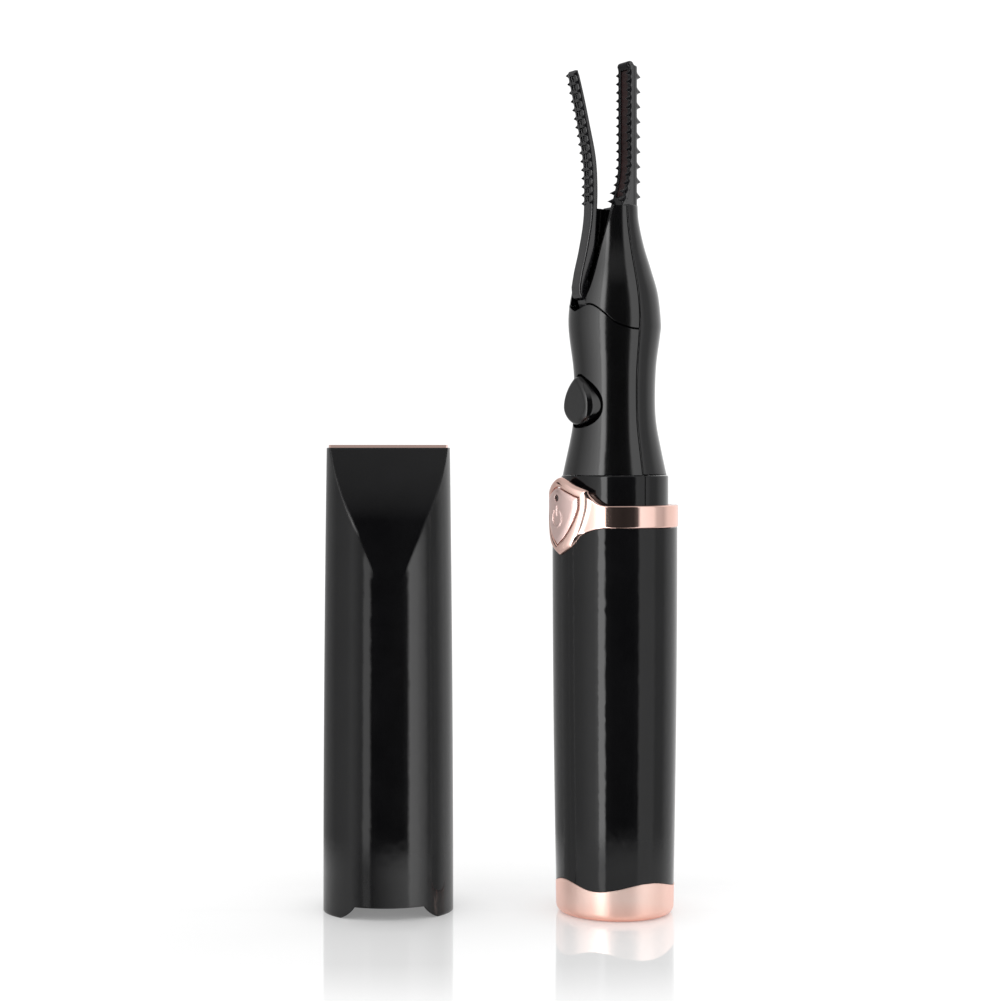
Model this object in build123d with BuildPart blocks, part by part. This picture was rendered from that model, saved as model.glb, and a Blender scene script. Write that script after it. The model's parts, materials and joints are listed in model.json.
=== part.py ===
from build123d import *
from math import cos, radians, sin
import os

# Heated eyelash curler with a clip comb, and its slide-on cap standing beside it.
# Millimetres. +Z up, the origin is the centre of the base's flat underside, and the
# power button faces -Y. The handle's cross-section is an oval, wider along X.

# ---- handle ---------------------------------------------------------------------------
OVAL_HALF_WIDTH = 11.6  # at the metal band
OVAL_RATIO = 0.94  # half depth (Y) over half width (X)
TAPER = 0.78  # how much narrower the half width is at the bottom
BAND_LOW = 68.3
BAND_HIGH = 72.2
WALL = 1.3
BAND_PROUD = 0.15
WING_UNDER = [(0, -1.3), (4.6, -1.3), (6.6, -0.45), (8.6, 0)]  # X, and height over BAND_LOW
WING_OVER = [(8.8, 0), (7.4, 0.55), (6.0, 2.0)]  # X, and height over BAND_HIGH
SEAM_GAP = 0.08
BASE_SEAM = 5.9  # mean height of the base cap's wavy top edge
BASE_WAVE = 0.7
BASE_TROUGH = 38.0  # the wave's low points, in degrees to either side of the front
BASE_FLOOR = 1.6
BASE_ROUND = 1.4
SPIGOT_TOP = 9.5
SPIGOT_WALL = 1.05
LOFT_SECTIONS = 4

# ---- shield bezel and power button ----------------------------------------------------
BEZEL_TOP_EDGE = [(0, 77.1), (2.3, 76.45), (3.9, 75.75), (6.45, 75.0)]
BEZEL_SIDE = [(6.45, 75.0), (6.35, 71.4), (5.05, 67.4), (3.2, 65.1), (0, 63.45)]
BUTTON_TOP_EDGE = [(0, 75.2), (2.4, 74.45), (4.8, 73.5)]
BUTTON_SIDE = [(4.8, 73.5), (4.7, 71.6), (3.65, 69.1), (2.0, 66.85), (0, 65.3)]
BEZEL_FRONT_RADIUS = 9.8
BEZEL_FRONT_Y = -12.0
BUTTON_GAP = 0.14
BUTTON_BACK = 9.75  # distance of the power button's back from the axis
LED_Z = 73.45
SYMBOL_Z = 69.9
SYMBOL_RADIUS = 1.45
SYMBOL_STROKE = 0.42
SYMBOL_RELIEF = 0.15
SHIELD_GRIP = 0.04  # how far plated pieces stand off the tube's surface
LED_HOLE_RADIUS = 0.62
PLUNGER_RADIUS = 0.9
PLUNGER_BACK = 7.75  # distance from the axis

# ---- neck -----------------------------------------------------------------------------
COLLAR_INSET = 1.6
COLLAR_TOP = 77.4
NECK_OUTLINE = [
    (9.25, 77.45),
    (8.3, 81.9),
    (7.45, 86.5),
    (7.2, 90.8),
    (7.4, 96.8),
    (8.1, 102.2),
    (8.25, 104.5),
    (7.7, 109.6),
    (6.5, 113.9),
    (5.2, 118.2),
    (4.3, 122.5),
    (4.1, 125.3),
]
NECK_WALL = 1.2
NECK_SEAM = 0.11  # half of the gap between the front and back shells
COVER_SEAM = [(0, 106.3), (3.8, 107.2), (6.2, 105.2), (8.4, 102.7)]
COVER_SEAM_GAP = 0.3
COVER_TOP = 125.0
SLOT_HALF_WIDTH = 2.55
SLOT_FLOOR = 101.4
CHEEK_CUT = [(-2.3, 125.0), (-5.2, 115.5), (-7.9, 107.5)]  # the cheeks' slanting front edges
COLLAR_SHOULDER = 0.3
COLLAR_WALL = 1.2
SCREW_X = 5.2
SCREW_HOLE_RADIUS = 0.8
WIRE_Y = 5.0
WIRE_HOLE_RADIUS = 1.6

# ---- comb jaws ------------------------------------------------------------------------
JAW_HALF_WIDTH = 2.0
JAW_FACE = [(0.12, 125.0), (1.455, 129.5), (1.9, 134.0)]
JAW_BACK_Y = 4.1
JAW_TOP = 150.4
HEATER_POCKET_HALF = 1.15
TOOTH_PITCH = 1.5
FRONT_TEETH = 16
TOP_TOOTH_Z = 148.9
BACK_TOOTH_PITCH = 2.67
BACK_TEETH = 9
ARM_HALF_WIDTH = 1.5
ARM_FRONT = [
    (-8.0, 112.0),
    (-6.8, 117.1),
    (-5.85, 122.3),
    (-5.65, 127.0),
    (-5.85, 132.5),
    (-7.05, 139.4),
    (-8.9, 147.7),
]
ARM_TIP = (-8.75, 148.6)
ARM_BACK = [
    (-8.05, 147.7),
    (-7.0, 143.8),
    (-5.95, 139.4),
    (-4.65, 133.5),
    (-4.3, 128.0),
    (-4.5, 122.3),
    (-5.0, 116.5),
    (-6.6, 111.4),
]
ARM_FOOT_LEAN = (0.15, 1)
ARM_TIP_LEAN = (-0.25, 1)
TOP_RUNG_Z = 147.9
RUNG_PITCH = 1.49
RUNGS = 16
RUNG_HOLE_WIDTH = 1.7
RUNG_HOLE_DEPTH = 0.9
RUNG_THICKNESS = 0.4
FRONT_TOOTH = 0.75
HOOK_TOOTH = 1.2  # the two lowest teeth of the fixed jaw
BACK_TOOTH = 0.95
ARM_TOOTH = 0.65
TOOTH_BURIED = 0.3
TOOTH_SECTIONS = [(0.4, 0.06, 0.48), (1.0, 0.16, 0.14)]  # share of length, droop, share of girth

# ---- closing mechanism ----------------------------------------------------------------
JAW_PIVOT = (-4.0, 104.0)  # (Y, Z); the pivots' axes run along X
ROCKER_PIVOT = (-2.32, 93.6)
CONTACT_Z = 98.5
BUTTON_PUSH_Z = 90.0
NOSE_RADIUS = 0.8
CONTACT_GAP = 0.08
JAW_PIN_RADIUS = 0.8
ROCKER_PIN_RADIUS = 0.65
RUNNING_GAP = 0.05
FRAME_INNER = 1.95
FRAME_OUTER = 3.0
FRAME_FLOOR = 1.2
FRAME_CHEEK = [
    (-3.9, 78.0),
    (-3.9, 97.5),
    (-5.3, 102.0),
    (-5.3, 106.0),
    (-2.3, 106.0),
    (3.4, 99.0),
    (3.4, 78.0),
]
FRAME_OPENING = [(-20, 78.66), (-20, 110.0), (2.5, 110.0), (2.5, 78.66)]
ARM_FOOT = [(-7.0, 108.3), (-8.15, 109.3)]
ARM_NECK = [(-7.0, 108.3), (-6.4, 112.2), (-4.3, 109.0), (-2.6, 105.2), (-5.7, 104.3)]
ARM_TAIL = [(-4.6, 97.7), (-4.6, 104.0), (-3.2, 104.0), (-3.2, 97.7)]
LEVER_HALF_WIDTH = 1.3  # of the arm's hub and tail, and of the rocker
ARM_HUB_RADIUS = 1.8
ROCKER_HUB_RADIUS = 1.35
CLAMP_LOW = 86.1  # the teardrop button's lowest and highest points
CLAMP_HIGH = 94.9
CLAMP_WIDEST = 89.5
CLAMP_HALF_WIDTH = 4.4
CLAMP_GAP = 0.35
CLAMP_SHOULDER = 7.35  # where its sides start to slope, and its flat face, from the axis
CLAMP_FACE = 8.4
CLAMP_SLOPE = 0.95

# ---- electrics ------------------------------------------------------------------------
BOARD_FRONT_Y = -6.6
BOARD_THICKNESS = 1.0
BOARD_HALF_WIDTH = 4.4
BOARD_LOW = 2.0
BOARD_HIGH = 75.0
PORT_Y = BOARD_FRONT_Y + BOARD_THICKNESS + 1.7
PORT_OPENING = (9.5, 3.7)
PORT_SHELL = (8.9, 3.2)
PORT_SOCKET = (8.3, 2.6)
PORT_TONGUE = (6.6, 0.7)
PORT_LOW = 0.6
SWITCH_SIZE = (4.4, 1.7, 4.4)
WIRE_PATH = [(5.0, 74.6), (4.9, 84.0), (4.9, 100.0), (3.4, 113.0), (2.3, 122.0), (1.9, 126.9)]
WIRE_HALF_SPREAD = 0.65
WIRE_RADIUS = 0.4
CELL_RADIUS = 5.0
CELL_Y = 0.95
CELL_LOW = 20.0
CELL_HIGH = 64.0

# ---- cap ------------------------------------------------------------------------------
CAP_HEIGHT = 82.8
CAP_TAPER = 0.6
CAP_WALL = 1.0
CAP_PLACE = (-21.0, -34.5)  # where it stands, beside the curler
CAP_TURN = 65.0
SCOOP = [(-3.0, 82.8), (-6.4, 75.1), (-8.5, 69.5), (-9.75, 64.5), (-10.35, 60.0), (-10.75, 56.0)]
RIM_NOTCH = [(9.6, -0.4), (8.3, 0.1), (7.0, 1.0), (6.0, 2.2)]  # clears the band's wings
TOP_PLATE = 0.5

FAR = 30.0  # reaches past every outline when a shape is only a cutter
os.makedirs("parts", exist_ok=True)


def finish(builder, label):
    """Names a finished piece and writes it as parts/<label>.step."""
    builder.part.label = label
    export_step(builder.part, f"parts/{label}.step")


# ---- shapes that several pieces share -------------------------------------------------
def oval_at(height):
    """Half width and half depth of the handle's oval at a height."""
    half_width = OVAL_HALF_WIDTH - TAPER * (1 - height / BAND_LOW) ** 2
    return half_width, half_width * OVAL_RATIO


def oval_block(low, high, inset):
    """The handle's body between two heights, inset from its surface."""
    with BuildPart() as block:
        for step in range(LOFT_SECTIONS):
            height = low + (high - low) * step / (LOFT_SECTIONS - 1)
            half_width, half_depth = oval_at(height)
            with BuildSketch(Plane.XY.offset(height)):
                Ellipse(half_width - inset, half_depth - inset)
        loft()
    return block.part


def straight_oval(low, high, inset):
    """The handle's body near the band, where its sides no longer taper."""
    with BuildPart() as block:
        with BuildSketch(Plane.XY.offset(low)):
            Ellipse(OVAL_HALF_WIDTH - inset, OVAL_HALF_WIDTH * OVAL_RATIO - inset)
        extrude(amount=high - low)
    return block.part


def side_block(outline, half_width):
    """A (Y, Z) outline extruded evenly to both sides of the middle plane."""
    with BuildPart() as block:
        with BuildSketch(Plane.YZ):
            with BuildLine():
                Polyline(*outline, close=True)
            make_face()
        extrude(amount=half_width, both=True)
    return block.part


def base_wave(angle):
    """Height of the base cap's wave at an angle from the front, between -1 and 1."""
    turn = abs(angle)
    if turn <= BASE_TROUGH:
        return cos(radians(180 * turn / BASE_TROUGH))
    return -cos(radians(180 * (turn - BASE_TROUGH) / (90 - BASE_TROUGH)))


def wave_block(shift, above):
    """The space above or below the base cap's wavy edge. Seen from the front the edge is
    one curve, so one extrusion cuts it."""
    radius = oval_at(BASE_SEAM)[0]
    middle = BASE_SEAM + shift
    crest = middle + BASE_WAVE
    end = FAR if above else -FAR
    points = [
        (radius * sin(radians(angle)), middle + BASE_WAVE * base_wave(angle))
        for angle in range(-90, 91, 10)
    ]
    with BuildPart() as block:
        with BuildSketch(Plane.XZ):
            with BuildLine():
                Spline(*points)
                Polyline(points[-1], (FAR, crest), (FAR, end), (-FAR, end), (-FAR, crest), points[0])
            make_face()
        extrude(amount=FAR, both=True)
    return block.part


def band_block(shift):
    """The space of the metal band: level all round, and swelling into a wing on each
    side of the shield at the front."""
    low = BAND_LOW + shift
    high = BAND_HIGH
    with BuildPart() as block:
        with BuildSketch(Plane.XZ):
            with BuildLine():
                lower = Spline(*[(x, low + z) for x, z in WING_UNDER], tangents=((1, 0), (1, 0)))
                upper = Spline(*[(x, high + z) for x, z in WING_OVER], tangents=((-1, 0), (-0.4, 1)))
                Polyline(lower @ 1, (FAR, low), (FAR, high), upper @ 0)
                Line(upper @ 1, (0, (upper @ 1).Y))
                mirror(about=Plane.YZ)
            make_face()
        extrude(amount=FAR)
        with Locations((0, FAR / 2, (low + high) / 2)):
            Box(2 * FAR, FAR, high - low)
    return block.part


def shield_prism(top_edge, side_edge, grow, near, far):
    """A shield outline standing between two distances in front of the axis. It grows by
    scaling about its middle, so that its half width and half height both gain grow."""
    half_width = top_edge[-1][0]
    half_height = (top_edge[0][1] - side_edge[-1][1]) / 2
    middle = side_edge[-1][1] + half_height
    wider = 1 + grow / half_width
    taller = 1 + grow / half_height
    top = [(x * wider, middle + (z - middle) * taller) for x, z in top_edge]
    side = [(x * wider, middle + (z - middle) * taller) for x, z in side_edge]
    with BuildPart() as block:
        with BuildSketch(Plane.XZ.offset(near)):
            with BuildLine():
                Spline(*top, tangents=((1, 0), (1, -0.25)))
                Spline(*side)
                mirror(about=Plane.YZ)
            make_face()
        extrude(amount=far - near)
    return block.part


def front_drum(front_y, height):
    """A tall drum whose front gives the shield and its button their curved faces."""
    with BuildPart() as drum:
        with Locations((0, front_y + BEZEL_FRONT_RADIUS, height)):
            Cylinder(BEZEL_FRONT_RADIUS, FAR)
    return drum.part


def neck_block(inset):
    """The neck as one turned body, inset from its surface."""
    with BuildPart() as block:
        with BuildSketch(Plane.XZ):
            with BuildLine():
                outline = Spline(*[(radius - inset, height) for radius, height in NECK_OUTLINE])
                Polyline(outline @ 1, (0, (outline @ 1).Y), (0, (outline @ 0).Y), outline @ 0)
            make_face()
        revolve(axis=Axis.Z)
    return block.part


def cover_seam_block(shift, above):
    """The space above or below the curved seam of the upper front cover."""
    end = 140 if above else 60
    with BuildPart() as block:
        with BuildSketch(Plane.XZ):
            with BuildLine():
                seam = Spline(*[(x, z + shift) for x, z in COVER_SEAM], tangents=((1, 0.25), (1, -0.8)))
                Polyline(seam @ 1, (FAR, (seam @ 1).Y), (FAR, end), (0, end))
                mirror(about=Plane.YZ)
            make_face()
        extrude(amount=FAR, both=True)
    return block.part


def half_space(front):
    """Everything in front of or behind the neck's seam plane, less half its gap."""
    direction = -1 if front else 1
    with BuildPart() as block:
        with Locations((0, direction * (NECK_SEAM + FAR / 2), 100)):
            Box(2 * FAR, FAR, 4 * FAR)
    return block.part


def jaw_layer(low, high, near, deep, half_width):
    """A layer that follows the fixed jaw's face, between two depths behind it."""
    lean = ((0.4, 1), (0, 1))
    top_y = JAW_FACE[-1][0]
    with BuildPart() as block:
        with BuildSketch(Plane.YZ):
            with BuildLine():
                near_face = Spline(*[(y + near, z) for y, z in JAW_FACE], tangents=lean)
                deep_face = Spline(*[(y + deep, z) for y, z in JAW_FACE], tangents=lean)
                Polyline(near_face @ 1, (top_y + near, high), (top_y + deep, high), deep_face @ 1)
                Line(near_face @ 0, deep_face @ 0)
            make_face()
        extrude(amount=half_width, both=True)
        with Locations((0, 0, (low + high) / 2)):
            Box(FAR, FAR, high - low, mode=Mode.INTERSECT)
    return block.part


def jaw_face_y(height):
    """Y of the fixed jaw's face at a height: straight above its lowest curved part."""
    straight_from = JAW_FACE[-1][1]
    if height >= straight_from:
        return JAW_FACE[-1][0]
    drop = (straight_from - height) / (straight_from - JAW_FACE[0][1])
    return JAW_FACE[-1][0] - (JAW_FACE[-1][0] - JAW_FACE[0][0]) * drop**2


def arm_face_y(height):
    """Y of the moving arm's outer face at a height, straight between its outline's points."""
    for (low_y, low_z), (high_y, high_z) in zip(ARM_FRONT, ARM_FRONT[1:]):
        if height <= high_z:
            return low_y + (high_y - low_y) * (height - low_z) / (high_z - low_z)
    return ARM_FRONT[-1][0]


# ---- handle pieces --------------------------------------------------------------------
button_window = shield_prism(BUTTON_TOP_EDGE, BUTTON_SIDE, BUTTON_GAP, 6.0, 13.0)

with BuildPart() as main_tube:
    add(oval_block(2.0, 72.0, 0.0))
    add(oval_block(1.0, 73.0, WALL), mode=Mode.SUBTRACT)
    add(wave_block(SEAM_GAP, above=False), mode=Mode.SUBTRACT)
    add(band_block(-SEAM_GAP), mode=Mode.SUBTRACT)
    add(button_window, mode=Mode.SUBTRACT)
finish(main_tube, "main_tube")

with BuildPart() as base_cap:
    add(oval_block(0.0, 9.0, -SHIELD_GRIP))
    fillet(base_cap.edges().group_by(Axis.Z)[0], radius=BASE_ROUND)
    add(wave_block(0.0, above=True), mode=Mode.SUBTRACT)
    add(oval_block(BASE_FLOOR, SPIGOT_TOP, WALL + 0.05))
    add(oval_block(BASE_FLOOR, SPIGOT_TOP + 1.0, WALL + 0.05 + SPIGOT_WALL), mode=Mode.SUBTRACT)
    with BuildSketch(Plane.XY):
        with Locations((0, PORT_Y)):
            SlotOverall(*PORT_OPENING)
    extrude(amount=BASE_FLOOR + 0.1, mode=Mode.SUBTRACT)
finish(base_cap, "base_cap")

with BuildPart() as shield_plate:
    add(shield_prism(BEZEL_TOP_EDGE, BEZEL_SIDE, 0, 8.5, 13.0))
    add(front_drum(BEZEL_FRONT_Y, 70), mode=Mode.INTERSECT)
    add(straight_oval(60.0, 79.0, -SHIELD_GRIP), mode=Mode.SUBTRACT)

with BuildPart() as ring_bezel:
    add(straight_oval(BAND_LOW - 2, BAND_HIGH + 3, -BAND_PROUD))
    add(straight_oval(BAND_LOW - 3, BAND_HIGH + 4, WALL), mode=Mode.SUBTRACT)
    add(band_block(0.0), mode=Mode.INTERSECT)
    add(shield_plate.part)
    add(button_window, mode=Mode.SUBTRACT)
finish(ring_bezel, "ring_bezel")

with BuildPart() as neck_collar:
    add(straight_oval(66.2, COLLAR_TOP, COLLAR_INSET))
    fillet(neck_collar.edges().group_by(Axis.Z)[-1], radius=COLLAR_SHOULDER)
    for side in (-1, 1):
        with Locations((side * (OVAL_HALF_WIDTH - COLLAR_INSET), 0, COLLAR_TOP)):
            Box(0.8, 2 * NECK_SEAM, FAR, mode=Mode.SUBTRACT)
    add(straight_oval(65.0, COLLAR_TOP - COLLAR_WALL, COLLAR_INSET + COLLAR_WALL), mode=Mode.SUBTRACT)
    with Locations((0, -9.0, 69.4)):
        Box(6.6, 5.0, 11.0, mode=Mode.SUBTRACT)
    with Locations((0, WIRE_Y, COLLAR_TOP)):
        Cylinder(WIRE_HOLE_RADIUS, 4.0, mode=Mode.SUBTRACT)
    with Locations((-SCREW_X, 0, COLLAR_TOP), (SCREW_X, 0, COLLAR_TOP)):
        Cylinder(SCREW_HOLE_RADIUS, 4.0, mode=Mode.SUBTRACT)
finish(neck_collar, "neck_collar")

# ---- neck shells ----------------------------------------------------------------------
def teardrop_face(grow):
    """The clamp button's outline, a teardrop with its point up, grown all round."""
    low = CLAMP_LOW - grow
    high = CLAMP_HIGH + grow
    side = CLAMP_HALF_WIDTH + grow
    with BuildSketch() as face:
        with BuildLine():
            Spline((0, low), (side, CLAMP_WIDEST), tangents=((1, 0), (0, 1)))
            Spline((side, CLAMP_WIDEST), (0.5, high), tangents=((0, 1), (-1, 0.55)))
            Line((0.5, high), (0, high))
            mirror(about=Plane.YZ)
        make_face()
    return face.sketch


def teardrop_prism(grow, near, far):
    """The teardrop standing between two distances in front of the axis."""
    with BuildPart() as block:
        with BuildSketch(Plane.XZ.offset(near)):
            add(teardrop_face(grow))
        extrude(amount=far - near)
    return block.part


with BuildPart() as neck_front_shell:
    add(neck_block(0.0))
    add(neck_block(NECK_WALL), mode=Mode.SUBTRACT)
    add(half_space(front=True), mode=Mode.INTERSECT)
    add(cover_seam_block(0.0, above=True), mode=Mode.SUBTRACT)
    add(teardrop_prism(CLAMP_GAP, 1.0, 12.0), mode=Mode.SUBTRACT)
finish(neck_front_shell, "neck_front_shell")

with BuildPart() as cheek_cutter:
    with BuildSketch(Plane.YZ):
        with BuildLine():
            slant = Spline(*CHEEK_CUT)
            Polyline(slant @ 1, (-FAR, CHEEK_CUT[-1][1]), (-FAR, 130.0), (CHEEK_CUT[0][0], 130.0), slant @ 0)
        make_face()
    extrude(amount=FAR, both=True)

with BuildPart() as cheek_bridge:
    add(neck_block(NECK_WALL / 2))
    with Locations((0, -0.85, 112.2)):
        Box(FAR, 1.3, 9.0, mode=Mode.INTERSECT)

with BuildPart() as upper_front_cover:
    add(neck_block(0.0))
    add(neck_block(NECK_WALL), mode=Mode.SUBTRACT)
    add(half_space(front=True), mode=Mode.INTERSECT)
    add(cover_seam_block(COVER_SEAM_GAP, above=False), mode=Mode.SUBTRACT)
    with Locations((0, 0, COVER_TOP + 5)):
        Box(FAR, FAR, 10.0, mode=Mode.SUBTRACT)
    with Locations((0, -FAR / 2, (SLOT_FLOOR + COVER_TOP + 2) / 2)):
        Box(2 * SLOT_HALF_WIDTH, FAR, COVER_TOP + 2 - SLOT_FLOOR, mode=Mode.SUBTRACT)
    add(cheek_cutter.part, mode=Mode.SUBTRACT)
    add(cheek_bridge.part)
finish(upper_front_cover, "upper_front_cover")


def tooth(y, z, x, length, direction, half_height=0.48, half_width=0.24):
    """A pointed comb tooth, taller than it is wide, standing on a face and pointing along
    +Y or -Y, its tip drooping a little."""
    sections = [(-TOOTH_BURIED, 0, 1.0)]
    sections += [(length * along, droop, girth) for along, droop, girth in TOOTH_SECTIONS]
    with BuildPart() as block:
        for reach, droop, girth in sections:
            place = (x, y + direction * reach, z - droop)
            with BuildSketch(Plane(origin=place, x_dir=(1, 0, 0), z_dir=(0, direction, 0))):
                Ellipse(half_width * girth, half_height * girth)
        loft(ruled=True)
    return block.part


with BuildPart() as neck_hollow:
    add(neck_block(NECK_WALL))
    with Locations((0, 0, 122.0)):
        Box(FAR, FAR, 8.0, mode=Mode.SUBTRACT)

with BuildPart() as fixed_jaw:
    add(jaw_layer(JAW_FACE[0][1], JAW_TOP, 0.0, 6.0, JAW_HALF_WIDTH))
    with Locations((0, JAW_BACK_Y / 2, 138.0)):
        Box(FAR, JAW_BACK_Y, 40.0, mode=Mode.INTERSECT)
    fillet(fixed_jaw.edges().filter_by(Axis.Z).group_by(Axis.Y)[-1], radius=1.2)

with BuildPart() as neck_back_shell:
    add(neck_block(0.0))
    add(neck_hollow.part, mode=Mode.SUBTRACT)
    add(half_space(front=False), mode=Mode.INTERSECT)
    add(fixed_jaw.part)
    with Locations((0, JAW_FACE[-1][0] + 0.35, JAW_TOP)):
        Cylinder(0.75, 3.4, rotation=(0, 90, 0))
    add(jaw_layer(127.0, 149.6, -1.0, 1.15, HEATER_POCKET_HALF), mode=Mode.SUBTRACT)
    with Locations((0, 2.2, 122.0)):
        Box(2.6, 1.9, 11.0, mode=Mode.SUBTRACT)
    for index in range(FRONT_TEETH):
        height = TOP_TOOTH_Z - index * TOOTH_PITCH
        length = FRONT_TOOTH if index < FRONT_TEETH - 2 else HOOK_TOOTH
        for side in (-1, 1):
            add(tooth(jaw_face_y(height), height, side * 1.76, length, -1))
    for index in range(BACK_TEETH):
        height = TOP_TOOTH_Z - 0.4 - index * BACK_TOOTH_PITCH
        for side in (-1, 1):
            add(tooth(JAW_BACK_Y - 0.35, height, side * 1.3, BACK_TOOTH, 1, half_height=0.6))
finish(neck_back_shell, "neck_back_shell")

# ---- heater ---------------------------------------------------------------------------
with BuildPart() as heater_strip:
    add(jaw_layer(127.1, 149.5, 0.25, 0.6, HEATER_POCKET_HALF - 0.05))
finish(heater_strip, "heater_strip")

with BuildPart() as heater_element:
    add(jaw_layer(128.0, 149.0, 0.64, 1.1, 0.9))
finish(heater_element, "heater_element")

with BuildPart() as heater_wires:
    for side in (-1, 1):
        with BuildLine() as path:
            Spline(*[(side * WIRE_HALF_SPREAD, y, z) for y, z in WIRE_PATH])
        with BuildSketch(Plane(origin=path.line @ 0, z_dir=path.line % 0)):
            Circle(WIRE_RADIUS)
        sweep(path=path.line)
finish(heater_wires, "heater_wires")

# ---- closing mechanism ----------------------------------------------------------------
pivot_y, pivot_z = JAW_PIVOT
rocker_y, rocker_z = ROCKER_PIVOT


def pin_hole_axis(y, z):
    """A plane across the mechanism at a pivot, its normal along X."""
    return Plane(origin=(0, y, z), x_dir=(0, 1, 0), z_dir=(1, 0, 0))


with BuildPart() as neck_frame:
    with BuildSketch(Plane.XY.offset(COLLAR_TOP + 0.06)):
        Circle(7.4)
    extrude(amount=FRAME_FLOOR)
    add(side_block(FRAME_CHEEK, FRAME_OUTER))
    add(side_block(FRAME_OPENING, FRAME_INNER), mode=Mode.SUBTRACT)
    for y, z, radius in ((*JAW_PIVOT, JAW_PIN_RADIUS), (*ROCKER_PIVOT, ROCKER_PIN_RADIUS)):
        with BuildSketch(pin_hole_axis(y, z)):
            Circle(radius)
        extrude(amount=5, both=True, mode=Mode.SUBTRACT)
    with Locations((0, WIRE_Y, COLLAR_TOP)):
        Cylinder(WIRE_HOLE_RADIUS, 6.0, mode=Mode.SUBTRACT)
    with Locations((-SCREW_X, 0, COLLAR_TOP), (SCREW_X, 0, COLLAR_TOP)):
        Cylinder(SCREW_HOLE_RADIUS, 6.0, mode=Mode.SUBTRACT)
finish(neck_frame, "neck_frame")

with BuildPart() as frame_screws:
    for side in (-1, 1):
        with BuildSketch(Plane(origin=(side * 5.2, 0, 75.2))):
            Circle(0.75)
        extrude(amount=COLLAR_TOP + 1.3 - 75.2)
        with BuildSketch(Plane(origin=(side * 5.2, 0, COLLAR_TOP + 1.27))):
            Circle(1.3)
        extrude(amount=0.8)
        with BuildSketch(Plane(origin=(side * 5.2, 0, COLLAR_TOP + 1.27 + 0.8))):
            Rectangle(1.5, 0.35)
            Rectangle(0.35, 1.5)
        extrude(amount=-0.4, mode=Mode.SUBTRACT)
finish(frame_screws, "frame_screws")

with BuildPart() as jaw_pivot_pin:
    with BuildSketch(pin_hole_axis(pivot_y, pivot_z)):
        Circle(JAW_PIN_RADIUS)
    extrude(amount=FRAME_OUTER, both=True)
finish(jaw_pivot_pin, "jaw_pivot_pin")

with BuildPart() as rocker_pin:
    with BuildSketch(pin_hole_axis(rocker_y, rocker_z)):
        Circle(ROCKER_PIN_RADIUS)
    extrude(amount=FRAME_OUTER, both=True)
finish(rocker_pin, "rocker_pin")

with BuildPart() as jaw_arm:
    with BuildSketch(Plane.YZ):
        with BuildLine():
            front = Spline(*ARM_FRONT, tangents=(ARM_FOOT_LEAN, ARM_TIP_LEAN))
            ThreePointArc(ARM_FRONT[-1], ARM_TIP, ARM_BACK[0])
            back = Spline(*ARM_BACK)
            Polyline(back @ 1, (-6.3, 109.0), ARM_FOOT[0])
            Spline(*ARM_FOOT, front @ 0, tangents=((-1, 0), ARM_FOOT_LEAN))
        make_face()
    extrude(amount=ARM_HALF_WIDTH, both=True)
    add(side_block(ARM_NECK, LEVER_HALF_WIDTH))
    with BuildSketch(pin_hole_axis(pivot_y, pivot_z)):
        Circle(ARM_HUB_RADIUS)
    extrude(amount=LEVER_HALF_WIDTH, both=True)
    add(side_block(ARM_TAIL, LEVER_HALF_WIDTH))
    with BuildSketch(pin_hole_axis(pivot_y, pivot_z)):
        Circle(JAW_PIN_RADIUS + RUNNING_GAP)
    extrude(amount=5, both=True, mode=Mode.SUBTRACT)
    with Locations((1.0, pivot_y, pivot_z)):
        Cylinder(2.1, 2.2, rotation=(0, 90, 0), mode=Mode.SUBTRACT)
    for index in range(RUNGS - 1):
        height = TOP_RUNG_Z - (index + 0.5) * RUNG_PITCH
        with Locations((0, arm_face_y(height), height)):
            Box(RUNG_HOLE_WIDTH, RUNG_HOLE_DEPTH, RUNG_PITCH - RUNG_THICKNESS, mode=Mode.SUBTRACT)
    for index in range(RUNGS):
        height = TOP_RUNG_Z - index * RUNG_PITCH
        for side in (-1, 1):
            add(tooth(arm_face_y(height), height, side * 1.22, ARM_TOOTH, -1, half_height=0.4))
finish(jaw_arm, "jaw_arm")

with BuildPart() as return_spring:
    with BuildLine() as coil:
        Helix(pitch=0.5, height=1.5, radius=1.3, center=(0.2, pivot_y, pivot_z), direction=(1, 0, 0))
    with BuildSketch(Plane(origin=coil.line @ 0, z_dir=coil.line % 0)):
        Circle(0.2)
    sweep(path=coil.line)
finish(return_spring, "return_spring")

with BuildPart() as rocker:
    with BuildSketch(Plane.YZ):
        with Locations((rocker_y, (CONTACT_Z + BUTTON_PUSH_Z) / 2)):
            SlotOverall(CONTACT_Z - BUTTON_PUSH_Z + 2 * NOSE_RADIUS, 2 * NOSE_RADIUS, rotation=90)
        with Locations((rocker_y, rocker_z)):
            Circle(ROCKER_HUB_RADIUS)
    extrude(amount=LEVER_HALF_WIDTH, both=True)
    with BuildSketch(pin_hole_axis(rocker_y, rocker_z)):
        Circle(ROCKER_PIN_RADIUS + RUNNING_GAP)
    extrude(amount=5, both=True, mode=Mode.SUBTRACT)
finish(rocker, "rocker")

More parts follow.
